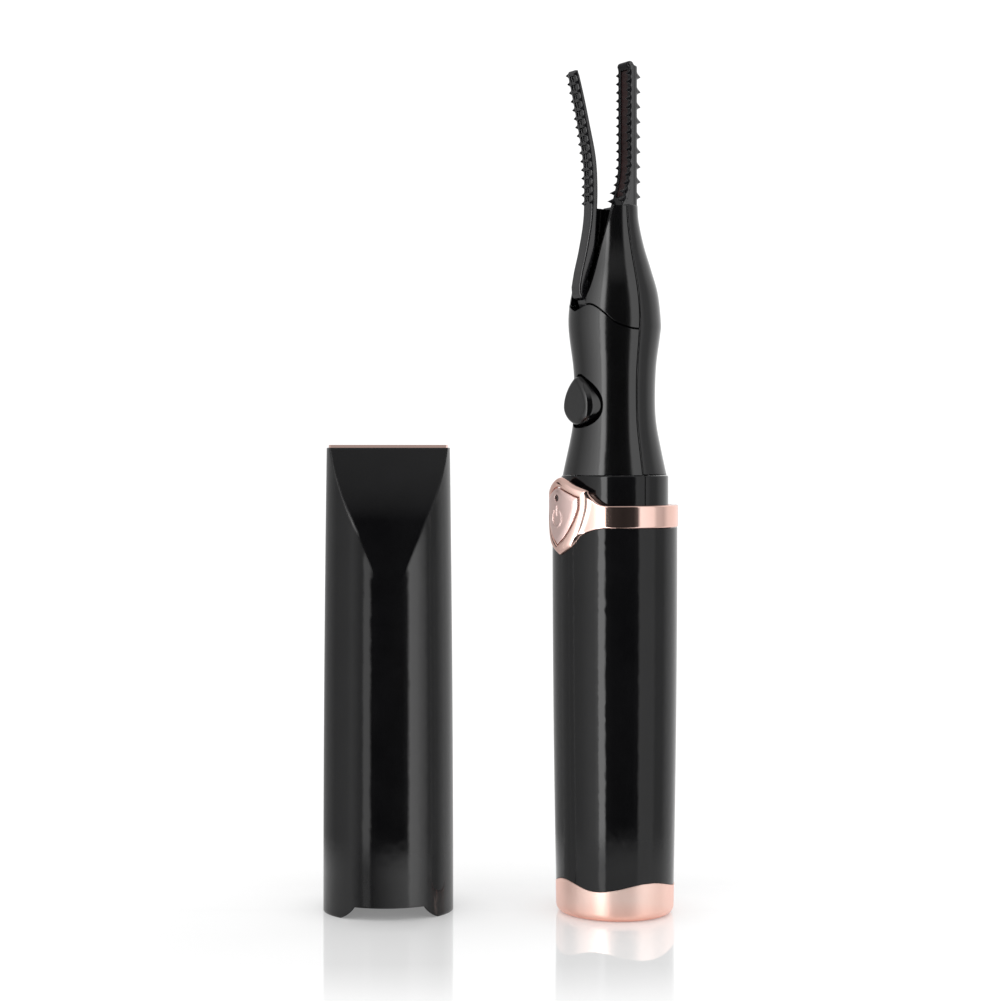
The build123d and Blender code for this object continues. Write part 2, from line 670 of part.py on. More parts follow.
post_y = rocker_y - NOSE_RADIUS - CONTACT_GAP
post_outline = [(-6.5, 88.8), (-6.5, 91.0), (-4.6, 91.0), (post_y, 90.1), (post_y, 89.5), (-4.6, 88.8)]
with BuildPart() as clamp_button:
    add(teardrop_prism(0.0, 4.9, CLAMP_SHOULDER))
    with BuildSketch(Plane.XZ.offset(CLAMP_SHOULDER)):
        add(teardrop_face(0.0))
    with BuildSketch(Plane.XZ.offset(CLAMP_FACE)):
        add(teardrop_face(-CLAMP_SLOPE))
    loft()
    add(teardrop_prism(-0.9, 0.0, 6.0), mode=Mode.SUBTRACT)
    with Locations((0, -5.1, 90.5)):
        Box(4.2, 0.6, 10.6)
    add(side_block(post_outline, 1.1))
finish(clamp_button, "clamp_button")

# ---- power button ---------------------------------------------------------------------
with BuildPart() as power_symbol:
    with BuildSketch(Plane.XZ.offset(10.5)):
        with Locations((0, SYMBOL_Z)):
            Circle(SYMBOL_RADIUS + SYMBOL_STROKE / 2)
            Circle(SYMBOL_RADIUS - SYMBOL_STROKE / 2, mode=Mode.SUBTRACT)
        with Locations((0, SYMBOL_Z + SYMBOL_RADIUS)):
            Rectangle(1.5, 1.6, mode=Mode.SUBTRACT)
        with Locations((0, SYMBOL_Z + SYMBOL_RADIUS - 0.1)):
            SlotOverall(1.9, SYMBOL_STROKE, rotation=90)
    extrude(amount=3.0)
    add(front_drum(BEZEL_FRONT_Y - 0.05 - SYMBOL_RELIEF, 70), mode=Mode.INTERSECT)

with BuildPart() as power_button:
    add(shield_prism(BUTTON_TOP_EDGE, BUTTON_SIDE, 0, BUTTON_BACK, 13.0))
    add(front_drum(BEZEL_FRONT_Y - 0.05, 70), mode=Mode.INTERSECT)
    with BuildSketch(Plane.XZ.offset(BUTTON_BACK)):
        with Locations((0, LED_Z)):
            Circle(LED_HOLE_RADIUS)
    extrude(amount=5.0, mode=Mode.SUBTRACT)
    add(power_symbol.part)
finish(power_button, "power_button")

with BuildPart() as switch_plunger:
    with BuildSketch(Plane.XZ.offset(PLUNGER_BACK)):
        with Locations((0, SYMBOL_Z)):
            Circle(PLUNGER_RADIUS)
    extrude(amount=BUTTON_BACK - PLUNGER_BACK)
finish(switch_plunger, "switch_plunger")

with BuildPart() as light_pipe:
    with BuildSketch(Plane.XZ.offset(BUTTON_BACK + 0.1)):
        with Locations((0, LED_Z)):
            Circle(LED_HOLE_RADIUS - 0.02)
    extrude(amount=1.85)
finish(light_pipe, "light_pipe")

# ---- electrics ------------------------------------------------------------------------
with BuildPart() as circuit_board:
    with Locations((0, BOARD_FRONT_Y + BOARD_THICKNESS / 2, (BOARD_LOW + BOARD_HIGH) / 2)):
        Box(2 * BOARD_HALF_WIDTH, BOARD_THICKNESS, BOARD_HIGH - BOARD_LOW)
finish(circuit_board, "circuit_board")

with BuildPart() as tact_switch:
    with Locations((0, BOARD_FRONT_Y - SWITCH_SIZE[1] / 2, SYMBOL_Z)):
        Box(*SWITCH_SIZE)
    with BuildSketch(Plane.XZ.offset(7.3)):
        with Locations((0, SYMBOL_Z)):
            Circle(PLUNGER_RADIUS + 0.08)
    extrude(amount=3.0, mode=Mode.SUBTRACT)
finish(tact_switch, "tact_switch")

with BuildPart() as indicator_led:
    with Locations((0, BOARD_FRONT_Y - 0.4, LED_Z)):
        Box(1.6, 0.8, 0.8)
    with BuildSketch(Plane.XZ.offset(-BOARD_FRONT_Y + 0.8)):
        with Locations((0, LED_Z)):
            Circle(0.38)
    extrude(amount=0.4)
finish(indicator_led, "indicator_led")

with BuildPart() as charge_chip:
    with Locations((0, BOARD_FRONT_Y - 0.75, 14.0)):
        Box(3.9, 1.5, 4.9)
finish(charge_chip, "charge_chip")

with BuildPart() as usb_port:
    with BuildSketch(Plane.XY.offset(PORT_LOW)):
        with Locations((0, PORT_Y)):
            SlotOverall(*PORT_SHELL)
    extrude(amount=7.3)
    with BuildSketch(Plane.XY.offset(PORT_LOW)):
        with Locations((0, PORT_Y)):
            SlotOverall(*PORT_SOCKET)
            Rectangle(*PORT_TONGUE, mode=Mode.SUBTRACT)
    extrude(amount=6.0, mode=Mode.SUBTRACT)
finish(usb_port, "usb_port")

with BuildPart() as battery_cell:
    with BuildSketch(Plane(origin=(0, CELL_Y, CELL_LOW))):
        Circle(CELL_RADIUS)
    extrude(amount=CELL_HIGH - CELL_LOW)
    fillet(battery_cell.edges(), radius=0.4)
    with BuildSketch(Plane(origin=(0, CELL_Y, CELL_HIGH))):
        Circle(1.8)
    extrude(amount=0.6)
finish(battery_cell, "battery_cell")

with BuildPart() as battery_tabs:
    for low in (CELL_LOW - 0.25, CELL_HIGH + 0.75):
        with Locations((0, CELL_Y - 1.0, low)):
            Box(3.0, 6.0, 0.2)
finish(battery_tabs, "battery_tabs")

with BuildPart() as battery_carrier:
    with BuildSketch(Plane(origin=(0, CELL_Y, CELL_LOW - 2))):
        Circle(CELL_RADIUS + 1.2)
        Circle(CELL_RADIUS + 0.1, mode=Mode.SUBTRACT)
        with Locations((0, -6.0)):
            Rectangle(20, 9, mode=Mode.SUBTRACT)
    extrude(amount=CELL_HIGH - CELL_LOW + 4)
    for side in (-1, 1):
        with Locations((side * (BOARD_HALF_WIDTH + 0.45), -4.2, (CELL_LOW + CELL_HIGH) / 2)):
            Box(0.8, 5.4, CELL_HIGH - CELL_LOW + 4)
        with Locations((side * (CELL_RADIUS + 0.55), -1.2, (CELL_LOW + CELL_HIGH) / 2)):
            Box(0.8, 2.4, CELL_HIGH - CELL_LOW + 4)
finish(battery_carrier, "battery_carrier")

# ---- cap ------------------------------------------------------------------------------
cap_x, cap_y = CAP_PLACE
cap_right = (cos(radians(CAP_TURN)), sin(radians(CAP_TURN)), 0)
cap_front = (sin(radians(CAP_TURN)), -cos(radians(CAP_TURN)), 0)
cap_plane = Plane(origin=(cap_x, cap_y, 0), x_dir=cap_right, z_dir=(0, 0, 1))
cap_front_plane = Plane(origin=(cap_x, cap_y, 0), x_dir=cap_right, z_dir=cap_front)
cap_side_plane = Plane(origin=(cap_x, cap_y, 0), x_dir=[-v for v in cap_front], z_dir=cap_right)


def cap_block(low, high, inset):
    """The cap's body between two heights above its rim, inset from its surface."""
    with BuildPart() as block:
        for step in range(LOFT_SECTIONS):
            height = low + (high - low) * step / (LOFT_SECTIONS - 1)
            half_width = OVAL_HALF_WIDTH - CAP_TAPER * (height / CAP_HEIGHT) ** 2
            with BuildSketch(cap_plane.offset(height)):
                Ellipse(half_width - inset, half_width * OVAL_RATIO - inset)
        loft()
    return block.part


def scoop_block(deeper):
    """The space in front of the scooped face, moved towards the cap's front or back."""
    with BuildPart() as block:
        with BuildSketch(cap_side_plane):
            with BuildLine():
                face = Spline(*[(y + deeper, z) for y, z in SCOOP])
                Polyline(face @ 1, (-FAR, SCOOP[-1][1]), (-FAR, 90), (SCOOP[0][0] + deeper, 90), face @ 0)
            make_face()
        extrude(amount=FAR, both=True)
    return block.part


with BuildPart() as cap_cavity:
    add(cap_block(-1.0, CAP_HEIGHT - TOP_PLATE - 1.3, CAP_WALL))
    add(scoop_block(CAP_WALL + 0.1), mode=Mode.SUBTRACT)

with BuildPart() as cap_shell:
    add(cap_block(0.0, CAP_HEIGHT - TOP_PLATE, 0.0))
    add(scoop_block(0.0), mode=Mode.SUBTRACT)
    add(cap_cavity.part, mode=Mode.SUBTRACT)
    with BuildSketch(cap_front_plane):
        with BuildLine():
            notch = Spline(*RIM_NOTCH)
            Line(notch @ 1, (0, RIM_NOTCH[-1][1]))
            Polyline(notch @ 0, (RIM_NOTCH[0][0], -1.0), (0, -1.0))
            mirror(about=Plane.YZ)
        make_face()
    extrude(amount=FAR, mode=Mode.SUBTRACT)
finish(cap_shell, "cap_shell")

with BuildPart() as cap_liner:
    add(cap_block(2.5, 14.5, CAP_WALL + 0.02))
    add(cap_block(2.0, 15.0, COLLAR_INSET - 0.1), mode=Mode.SUBTRACT)
finish(cap_liner, "cap_liner")

with BuildPart() as cap_top_plate:
    add(cap_block(CAP_HEIGHT - TOP_PLATE, CAP_HEIGHT, 0.35))
    add(scoop_block(0.25), mode=Mode.SUBTRACT)
finish(cap_top_plate, "cap_top_plate")
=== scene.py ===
import json
import math

import bpy
import numpy as np
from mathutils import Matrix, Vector


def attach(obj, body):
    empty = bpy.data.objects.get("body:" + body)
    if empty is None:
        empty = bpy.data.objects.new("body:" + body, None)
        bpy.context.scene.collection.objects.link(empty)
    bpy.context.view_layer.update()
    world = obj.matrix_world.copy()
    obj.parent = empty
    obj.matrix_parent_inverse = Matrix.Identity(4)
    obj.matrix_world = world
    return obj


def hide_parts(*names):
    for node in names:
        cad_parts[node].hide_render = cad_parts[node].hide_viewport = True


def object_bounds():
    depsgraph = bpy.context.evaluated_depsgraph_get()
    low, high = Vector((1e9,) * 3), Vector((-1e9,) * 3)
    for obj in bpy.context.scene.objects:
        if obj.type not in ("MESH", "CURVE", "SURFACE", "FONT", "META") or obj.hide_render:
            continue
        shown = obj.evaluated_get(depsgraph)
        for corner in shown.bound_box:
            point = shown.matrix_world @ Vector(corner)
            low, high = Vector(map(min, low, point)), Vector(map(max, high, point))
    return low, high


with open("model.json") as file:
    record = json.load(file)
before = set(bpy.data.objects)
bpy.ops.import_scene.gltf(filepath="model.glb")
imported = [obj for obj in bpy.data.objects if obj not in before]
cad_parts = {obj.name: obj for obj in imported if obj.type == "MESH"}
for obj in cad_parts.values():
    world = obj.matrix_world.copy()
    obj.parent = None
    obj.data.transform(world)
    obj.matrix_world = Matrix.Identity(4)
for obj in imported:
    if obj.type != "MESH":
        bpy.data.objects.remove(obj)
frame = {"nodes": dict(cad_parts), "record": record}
CAD_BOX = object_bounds()
NODES = frame["nodes"]

# ---- small helpers for node graphs ------------------------------------------------------


class Graph:
    """Builds a node tree with short calls."""

    def __init__(self, tree):
        self.tree = tree
        self.nodes = tree.nodes
        self.links = tree.links
        self.nodes.clear()

    def add(self, kind, inputs=None, **settings):
        node = self.nodes.new(kind)
        for name, value in settings.items():
            setattr(node, name, value)
        for name, value in (inputs or {}).items():
            socket = node.inputs[name]
            if isinstance(value, bpy.types.NodeSocket):
                self.links.new(value, socket)
            else:
                socket.default_value = value
        return node

    def math(self, operation, a, b=0.0):
        node = self.nodes.new("ShaderNodeMath")
        node.operation = operation
        for socket, value in zip(node.inputs, (a, b)):
            if isinstance(value, bpy.types.NodeSocket):
                self.links.new(value, socket)
            else:
                socket.default_value = value
        return node.outputs[0]

    def ramp(self, factor, stops):
        """A value or colour that changes evenly from stop to stop."""
        node = self.nodes.new("ShaderNodeValToRGB")
        elements = node.color_ramp.elements
        while len(elements) > 1:
            elements.remove(elements[-1])
        for k, (place, colour) in enumerate(stops):
            element = elements[0] if k == 0 else elements.new(place)
            element.position = place
            if isinstance(colour, (int, float)):
                colour = (colour, colour, colour)
            element.color = (*colour, 1)
        self.links.new(factor, node.inputs["Fac"])
        return node.outputs["Color"]

    def mix(self, factor, a, b):
        node = self.nodes.new("ShaderNodeMix")
        node.data_type = "RGBA"
        for socket, value in ((node.inputs[0], factor), (node.inputs[6], a), (node.inputs[7], b)):
            if isinstance(value, bpy.types.NodeSocket):
                self.links.new(value, socket)
            elif isinstance(value, (int, float)):
                socket.default_value = value
            else:
                socket.default_value = (*value[:3], 1)
        return node.outputs[2]

    def noise(self, vector, scale, detail=3.0, roughness=0.5, offset=(0, 0, 0)):
        placed = self.add("ShaderNodeMapping", {"Vector": vector, "Location": offset})
        node = self.add(
            "ShaderNodeTexNoise",
            {"Vector": placed.outputs[0], "Scale": scale, "Detail": detail, "Roughness": roughness},
        )
        return node.outputs["Fac"]


# ---- studio light, as reflections see it ------------------------------------------------
# Soft boxes and dark flags as (bearing in degrees, brightness). Bearing 0 points from the
# curler at the camera, and positive bearings lie to the camera's right.
BEARINGS = [
    (-180, 0.90), (-160, 0.60), (-140, 0.48), (-100, 0.46), (-70, 0.80), (-45, 1.35),
    (-38, 1.90), (-36, 4.9), (-26, 4.9), (-23, 0.10), (-10, 0.03), (10, 0.02), (30, 0.03),
    (38, 0.10), (43, 1.15), (72, 1.0), (80, 0.62), (98, 0.52), (112, 0.85), (150, 1.05),
    (180, 0.90),
]
GLOW_SCALE = 5.0  # a colour ramp holds no more than 1, so brightness is stored over this
OVERHEAD_FROM, OVERHEAD_FULL, OVERHEAD_GLOW = 0.55, 0.85, 0.6  # by a direction's Z
LEVEL_RISE = 0.1  # directions with less Z than this count as level
OWN_REACH = 0.014  # metres; a shorter reflection is of the curler's own parts
CAMERA_AT = Vector((0.3227, -0.20166, 0.0810))
CAMERA_FORWARD = Vector((-0.8751, 0.4839, 0.0))
VIEW_AZIMUTH = math.atan2(CAMERA_AT.y, CAMERA_AT.x)  # from the curler towards the camera


def by_bearing(g, direction, stops):
    """A value that follows a direction's bearing, and the direction's Z."""
    turned = g.add("ShaderNodeVectorRotate", {"Vector": direction, "Angle": -VIEW_AZIMUTH},
                   rotation_type="Z_AXIS").outputs[0]
    parts = g.add("ShaderNodeSeparateXYZ", {"Vector": turned})
    azimuth = g.math("ARCTAN2", parts.outputs["Y"], parts.outputs["X"])
    share = g.math("ADD", g.math("DIVIDE", azimuth, 2 * math.pi), 0.5)
    return g.ramp(share, [(0.5 + angle / 360, value) for angle, value in stops]), parts.outputs["Z"]


def studio_light(g, direction):
    """The studio's brightness, over GLOW_SCALE, in a direction, as reflections see it."""
    stops = [(angle, glow / GLOW_SCALE) for angle, glow in BEARINGS]
    round_about, rise = by_bearing(g, direction, stops)
    overhead = g.ramp(rise, [(OVERHEAD_FROM, 0.0), (OVERHEAD_FULL, 1.0)])
    return g.mix(overhead, round_about, (OVERHEAD_GLOW / GLOW_SCALE,) * 3)


def hide_from_far_mirrors(g, shader, where):
    """In level reflections from further off than the curler's own parts, this piece turns black
    and glows with painted studio light in place of the studio behind it, so that the cap and
    the curler don't darken each other's plating."""
    path = g.add("ShaderNodeLightPath")
    back = g.add("ShaderNodeNewGeometry").outputs["Incoming"]
    ray = g.add("ShaderNodeVectorMath", {0: back, 1: (-1, -1, -1)}, operation="MULTIPLY").outputs[0]
    rise = g.add("ShaderNodeSeparateXYZ", {"Vector": ray}).outputs["Z"]
    level = g.math("LESS_THAN", rise, LEVEL_RISE)
    far = g.math("GREATER_THAN", path.outputs["Ray Length"], OWN_REACH)
    seen = g.math("MULTIPLY", g.math("MULTIPLY", level, far), path.outputs["Is Glossy Ray"])
    # Painted reflection: a glow of studio light on the piece, seen only in far level reflections.
    g.links.new(studio_light(g, ray), shader.inputs["Emission Color"])
    g.links.new(g.math("MULTIPLY", seen, GLOW_SCALE), shader.inputs["Emission Strength"])
    tone = shader.inputs["Base Color"].links[0].from_socket
    g.links.new(g.mix(seen, tone, (0, 0, 0)), shader.inputs["Base Color"])


# ---- finishes ---------------------------------------------------------------------------
PATCH_EDGES = [(0.32, 0.0), (0.68, 1.0)]  # how sharply the two tones part
SCRATCH_EDGES = [(0.62, 0.0), (0.72, 1.0)]
# how sharply the painted shade along seams sets in
SEAM_SHADE_EDGES = [(0.90, 0.0), (0.985, 1.0)]
SCRATCH_SCALE, SCRATCH_STRETCH, SCRATCH_TILT = 5200, (1.0, 1.0, 0.04), (0.5, 0.3, 0.2)
WEAR_RATIO = 6  # the wear's pattern is this much finer than the patches
EDGE_SAMPLES = 4


def surface(name, colours, roughness, metallic=0.0, specular=0.5, grain=0.0, grain_scale=3000.0,
            patch_scale=160.0, scratches=0.0, edge=0.0, painted_seam_shade=False, extra=None):
    """A finish whose colour and roughness wander in soft patches, with fine surface grain.
    Edges are rounded over the width edge, and where seam shade is asked for they mirror
    nothing, a painted shade along the seams between parts. The function extra may change the
    shader further."""
    material = bpy.data.materials.new(name)
    material.use_nodes = True
    g = Graph(material.node_tree)
    where = g.add("ShaderNodeTexCoord").outputs["Object"]
    patches = g.noise(where, patch_scale, 4.0, 0.55)
    fine = g.noise(where, grain_scale, 2.0, 0.5, (0.3, 0.1, 0.7))
    tone = g.mix(g.ramp(patches, PATCH_EDGES), colours[0], colours[1])
    wear = g.noise(where, patch_scale * WEAR_RATIO, 5.0, 0.65, (1.7, 0.4, 0.2))
    level = g.math("ADD", g.math("MULTIPLY", patches, 0.5), g.math("MULTIPLY", wear, 0.5))
    low, high = roughness
    rough = g.add("ShaderNodeMapRange", {"Value": level, "From Min": 0.3, "From Max": 0.7,
                                         "To Min": low, "To Max": high}).outputs[0]
    height = g.math("MULTIPLY", fine, grain)
    if scratches:
        stretched = g.add("ShaderNodeMapping", {"Vector": where, "Rotation": SCRATCH_TILT,
                                                "Scale": SCRATCH_STRETCH}).outputs[0]
        thin = g.ramp(g.noise(stretched, SCRATCH_SCALE, 1.0, 0.4), SCRATCH_EDGES)
        height = g.math("ADD", height, g.math("MULTIPLY", thin, -scratches))
    bump = g.add("ShaderNodeBump", {"Height": height, "Strength": 1.0, "Distance": 0.001})
    if edge:
        rounded = g.add("ShaderNodeBevel", {"Radius": edge}, samples=EDGE_SAMPLES).outputs[0]
        g.links.new(rounded, bump.inputs["Normal"])
    shader = g.add("ShaderNodeBsdfPrincipled", {
        "Base Color": tone, "Roughness": rough, "Metallic": metallic,
        "Specular IOR Level": specular, "Normal": bump.outputs[0],
    })
    # Painted shade: near edges and seams the shader mirrors nothing, so the gaps between parts look
    # dark.
    if painted_seam_shade:
        face = g.add("ShaderNodeNewGeometry").outputs["True Normal"]
        turned = g.add("ShaderNodeVectorMath", {0: rounded, 1: face},
                       operation="DOT_PRODUCT").outputs["Value"]
        g.links.new(g.math("MULTIPLY", g.ramp(turned, SEAM_SHADE_EDGES), specular),
                    shader.inputs["Specular IOR Level"])
    if extra:
        extra(g, shader, where)
    g.add("ShaderNodeOutputMaterial", {"Surface": shader.outputs[0]})
    return material


WARM_ROSE = (0.98, 0.52, 0.41)
WARM_EDGE = 0.004  # metres above the base's underside


def plating_finish(g, shader, where):
    """Warms the plating towards the base's lower edge and where it turns away."""
    height = g.add("ShaderNodeSeparateXYZ", {"Vector": where}).outputs["Z"]
    low = g.add("ShaderNodeMapRange", {"Value": height, "From Min": 0.0, "From Max": WARM_EDGE,
                                       "To Min": 0.75, "To Max": 0.0}).outputs[0]
    aside = g.add("ShaderNodeLayerWeight", {"Blend": 0.35}).outputs["Facing"]
    warm = g.math("MAXIMUM", low, g.math("MULTIPLY", aside, 0.9))
    tone = shader.inputs["Base Color"].links[0].from_socket
    g.links.new(g.mix(warm, tone, WARM_ROSE), shader.inputs["Base Color"])
    hide_from_far_mirrors(g, shader, where)


JAW_FRONT_SHINE, JAW_SIDE_SHINE = 0.14, 1.0


def jaw_finish(g, shader, where):
    """Dulls the fixed jaw's front, where the heated strip lies."""
    normal = g.add("ShaderNodeTexCoord").outputs["Normal"]
    facing = g.add("ShaderNodeSeparateXYZ", {"Vector": normal}).outputs["Y"]
    shine = g.add("ShaderNodeMapRange", {"Value": facing, "From Min": -0.8, "From Max": -0.3,
                                         "To Min": JAW_FRONT_SHINE, "To Max": JAW_SIDE_SHINE})
    g.links.new(shine.outputs[0], shader.inputs["Specular IOR Level"])


# Painted highlights: shine by the bearing that is mirrored, as lamps would give that light one piece
# only.
NECK_PAINTED_HIGHLIGHTS = [(-150, 0.70), (-100, 0.75), (-72, 1.1), (-44, 1.18), (-36, 0.62), (-27, 0.55),
                (-10, 1.0)]
CAP_PAINTED_HIGHLIGHTS = [(-60, 0.36), (-42, 0.14), (-20, 0.14), (0, 0.36), (38, 0.8), (44, 1.0),
               (56, 0.9), (78, 0.36)]
CAP_SIDES = [(0.55, 1.0), (0.90, 0.08)]  # shine by how far the cap turns away


def neck_finish(g, shader, where):
    """Reshapes the neck's bright highlight with painted shine: weaker at its peak, stronger beside
    it.
    """
    mirrored_way = g.add("ShaderNodeTexCoord").outputs["Reflection"]
    painted_highlights = by_bearing(g, mirrored_way, NECK_PAINTED_HIGHLIGHTS)[0]
    level = shader.inputs["Specular IOR Level"].links[0].from_socket
    g.links.new(g.math("MULTIPLY", level, painted_highlights), shader.inputs["Specular IOR Level"])
    hide_from_far_mirrors(g, shader, where)


def cap_finish(g, shader, where):
    """Keeps the cap's turned-away sides dark and paints its highlights: the left one weak, the right
    one strong.
    """
    aside = g.add("ShaderNodeLayerWeight", {"Blend": 0.5}).outputs["Facing"]
    mirrored_way = g.add("ShaderNodeTexCoord").outputs["Reflection"]
    painted_highlights = by_bearing(g, mirrored_way, CAP_PAINTED_HIGHLIGHTS)[0]
    g.links.new(g.math("MULTIPLY", g.ramp(aside, CAP_SIDES), painted_highlights),
                shader.inputs["Specular IOR Level"])
    hide_from_far_mirrors(g, shader, where)


DEEP_BLACK = ((0.0030, 0.0030, 0.0034), (0.0045, 0.0045, 0.005))
MOULD_MARKS = {"grain": 0.0005, "grain_scale": 900, "scratches": 0.0003}
GLOSS_BLACK = surface("gloss_black", DEEP_BLACK, (0.03, 0.07), specular=0.36, edge=0.00012,
                      extra=hide_from_far_mirrors, **MOULD_MARKS)
CAP_BLACK = surface("cap_black", DEEP_BLACK, (0.03, 0.07), specular=0.36, edge=0.0006,
                    extra=cap_finish, **MOULD_MARKS)
# The neck's pieces carry a painted shade along their seams.
NECK_BLACK = surface("neck_black", ((0.0014, 0.0014, 0.0016), (0.0024, 0.0024, 0.0027)),
                     (0.09, 0.14), specular=0.85, edge=0.00014, painted_seam_shade=True,
                     extra=neck_finish, **MOULD_MARKS)
NECK_BACK = surface("neck_back_black", ((0.0030, 0.0030, 0.0034), (0.0050, 0.0050, 0.0055)),
                    (0.07, 0.12), specular=0.5, extra=hide_from_far_mirrors, **MOULD_MARKS)
COMB_BLACK = surface("comb_black", ((0.004, 0.004, 0.005), (0.009, 0.009, 0.010)), (0.12, 0.20),
                     specular=0.85, grain=0.0012, grain_scale=5000, edge=0.00012)
JAW_BLACK = surface("jaw_black", ((0.003, 0.003, 0.004), (0.007, 0.007, 0.008)), (0.12, 0.20),
                    grain=0.0012, grain_scale=5000, edge=0.00012, extra=jaw_finish)
PLATING = surface("rose_plating", ((0.95, 0.70, 0.63), (0.95, 0.67, 0.59)), (0.06, 0.10),
                  metallic=1.0, grain=0.0006, grain_scale=700, scratches=0.0003,
                  extra=plating_finish)
BASE_PLATING = surface("base_plating", ((0.93, 0.72, 0.65), (0.93, 0.69, 0.61)), (0.30, 0.36),
                       metallic=1.0, grain=0.0005, grain_scale=900, edge=0.00015,
                       extra=plating_finish)
SATIN = surface("rose_satin", ((0.93, 0.70, 0.66), (0.91, 0.67, 0.62)), (0.33, 0.42),
                metallic=1.0, grain=0.0010, grain_scale=5000, extra=hide_from_far_mirrors)
HEATER = surface("heater_film", ((0.016, 0.006, 0.006), (0.026, 0.009, 0.009)), (0.35, 0.5),
                 specular=0.2, grain=0.002, grain_scale=4000)
INNER = surface("inner_plastic", ((0.006, 0.006, 0.007), (0.012, 0.012, 0.013)), (0.4, 0.6),
                specular=0.3, grain=0.01)
STEEL = surface("pin_steel", ((0.60, 0.60, 0.62), (0.68, 0.68, 0.70)), (0.12, 0.3),
                metallic=1.0, grain=0.003, scratches=0.004)
BOARD = surface("board_green", ((0.012, 0.12, 0.045), (0.02, 0.16, 0.06)), (0.2, 0.4),
                grain=0.004)
CELL = surface("cell_wrap", ((0.05, 0.13, 0.36), (0.07, 0.17, 0.42)), (0.12, 0.25), grain=0.004)
WIRE = surface("wire_red", ((0.40, 0.02, 0.02), (0.5, 0.03, 0.03)), (0.35, 0.5), grain=0.005)
CLEAR = surface("clear_pipe", ((0.012, 0.010, 0.010), (0.02, 0.018, 0.018)), (0.05, 0.15),
                grain=0.002)

SLOT_FINISH = {
    "gloss_black_plastic": GLOSS_BLACK,
    "comb_black_plastic": COMB_BLACK,
    "rose_gold_plating": PLATING,
    "rose_gold_satin": SATIN,
    "heater_film": HEATER,
    "inner_plastic": INNER,
    "pin_steel": STEEL,
    "board_green": BOARD,
    "cell_wrap": CELL,
    "wire_red": WIRE,
    "clear_pipe": CLEAR,
}
NODE_FINISH = {
    "base_cap": BASE_PLATING,
    "neck_front_shell": NECK_BLACK,
    "cap_shell": CAP_BLACK,
    "upper_front_cover": NECK_BLACK,
}
for row in frame["record"]["subparts"]:
    piece = NODES[row["node"]]
    piece.data.materials.clear()
    piece.data.materials.append(NODE_FINISH.get(row["node"], SLOT_FINISH[row["material_slot"]]))

# ---- shapes built from distances --------------------------------------------------------
# A shape is a function of x, y and z in millimetres that is negative inside it. Where two
# shapes meet they can be blended over a width, which gives rounded edges and fillets.


def soft_max(a, b, width):
    gap = np.maximum(width - np.abs(a - b), 0.0) / width
    return np.maximum(a, b) + gap * gap * width / 4


def soft_min(a, b, width):
    return -soft_max(-a, -b, width)


def oval(x, y, half_width, half_depth):
    """Distance from an upright oval wall."""
    share = np.hypot(x / half_width, y / half_depth)
    slope = np.hypot(x / half_width**2, y / half_depth**2)
    return share * (share - 1) / np.maximum(slope, 1e-9)


def smooth_path(points, start=None, end=None, steps=8):
    """Points along a smooth curve through some points, leaving and arriving along the
    given directions."""
    points = np.array(points, float)
    tangents = np.gradient(points, axis=0)
    spans = np.linalg.norm(np.diff(points, axis=0), axis=1)
    if start:
        tangents[0] = np.array(start) / np.linalg.norm(start) * spans[0]
    if end:
        tangents[-1] = np.array(end) / np.linalg.norm(end) * spans[-1]
    t = np.linspace(0, 1, steps, endpoint=False)[:, None]
    pieces = []
    for a, b, ta, tb in zip(points, points[1:], tangents, tangents[1:]):
        pieces.append((2 * t**3 - 3 * t**2 + 1) * a + (t**3 - 2 * t**2 + t) * ta
                      + (3 * t**2 - 2 * t**3) * b + (t**3 - t**2) * tb)
    return np.vstack(pieces + [points[-1:]])


def mirrored(half):
    """A closed outline from its right half, whose ends lie on the middle line."""
    return np.vstack([half, half[-2:0:-1] * (-1, 1)])


def outline_distance(x, z, outline):
    """Distance from a closed outline, negative inside it."""
    best = np.full(np.broadcast(x, z).shape, 1e9)
    inside = np.zeros(best.shape, bool)
    for (ax, az), (bx, bz) in zip(outline, np.roll(outline, -1, axis=0)):
        ex, ez = bx - ax, bz - az
        along = np.clip(((x - ax) * ex + (z - az) * ez) / (ex * ex + ez * ez), 0, 1)
        best = np.minimum(best, np.hypot(x - ax - along * ex, z - az - along * ez))
        if ez:
            inside ^= ((az > z) != (bz > z)) & (x < ax + (z - az) * ex / ez)
    return np.where(inside, -best, best)


DRAW_PASSES = 3
SLOPE_REACH = 0.01
LEAST_STEEPNESS = 0.05


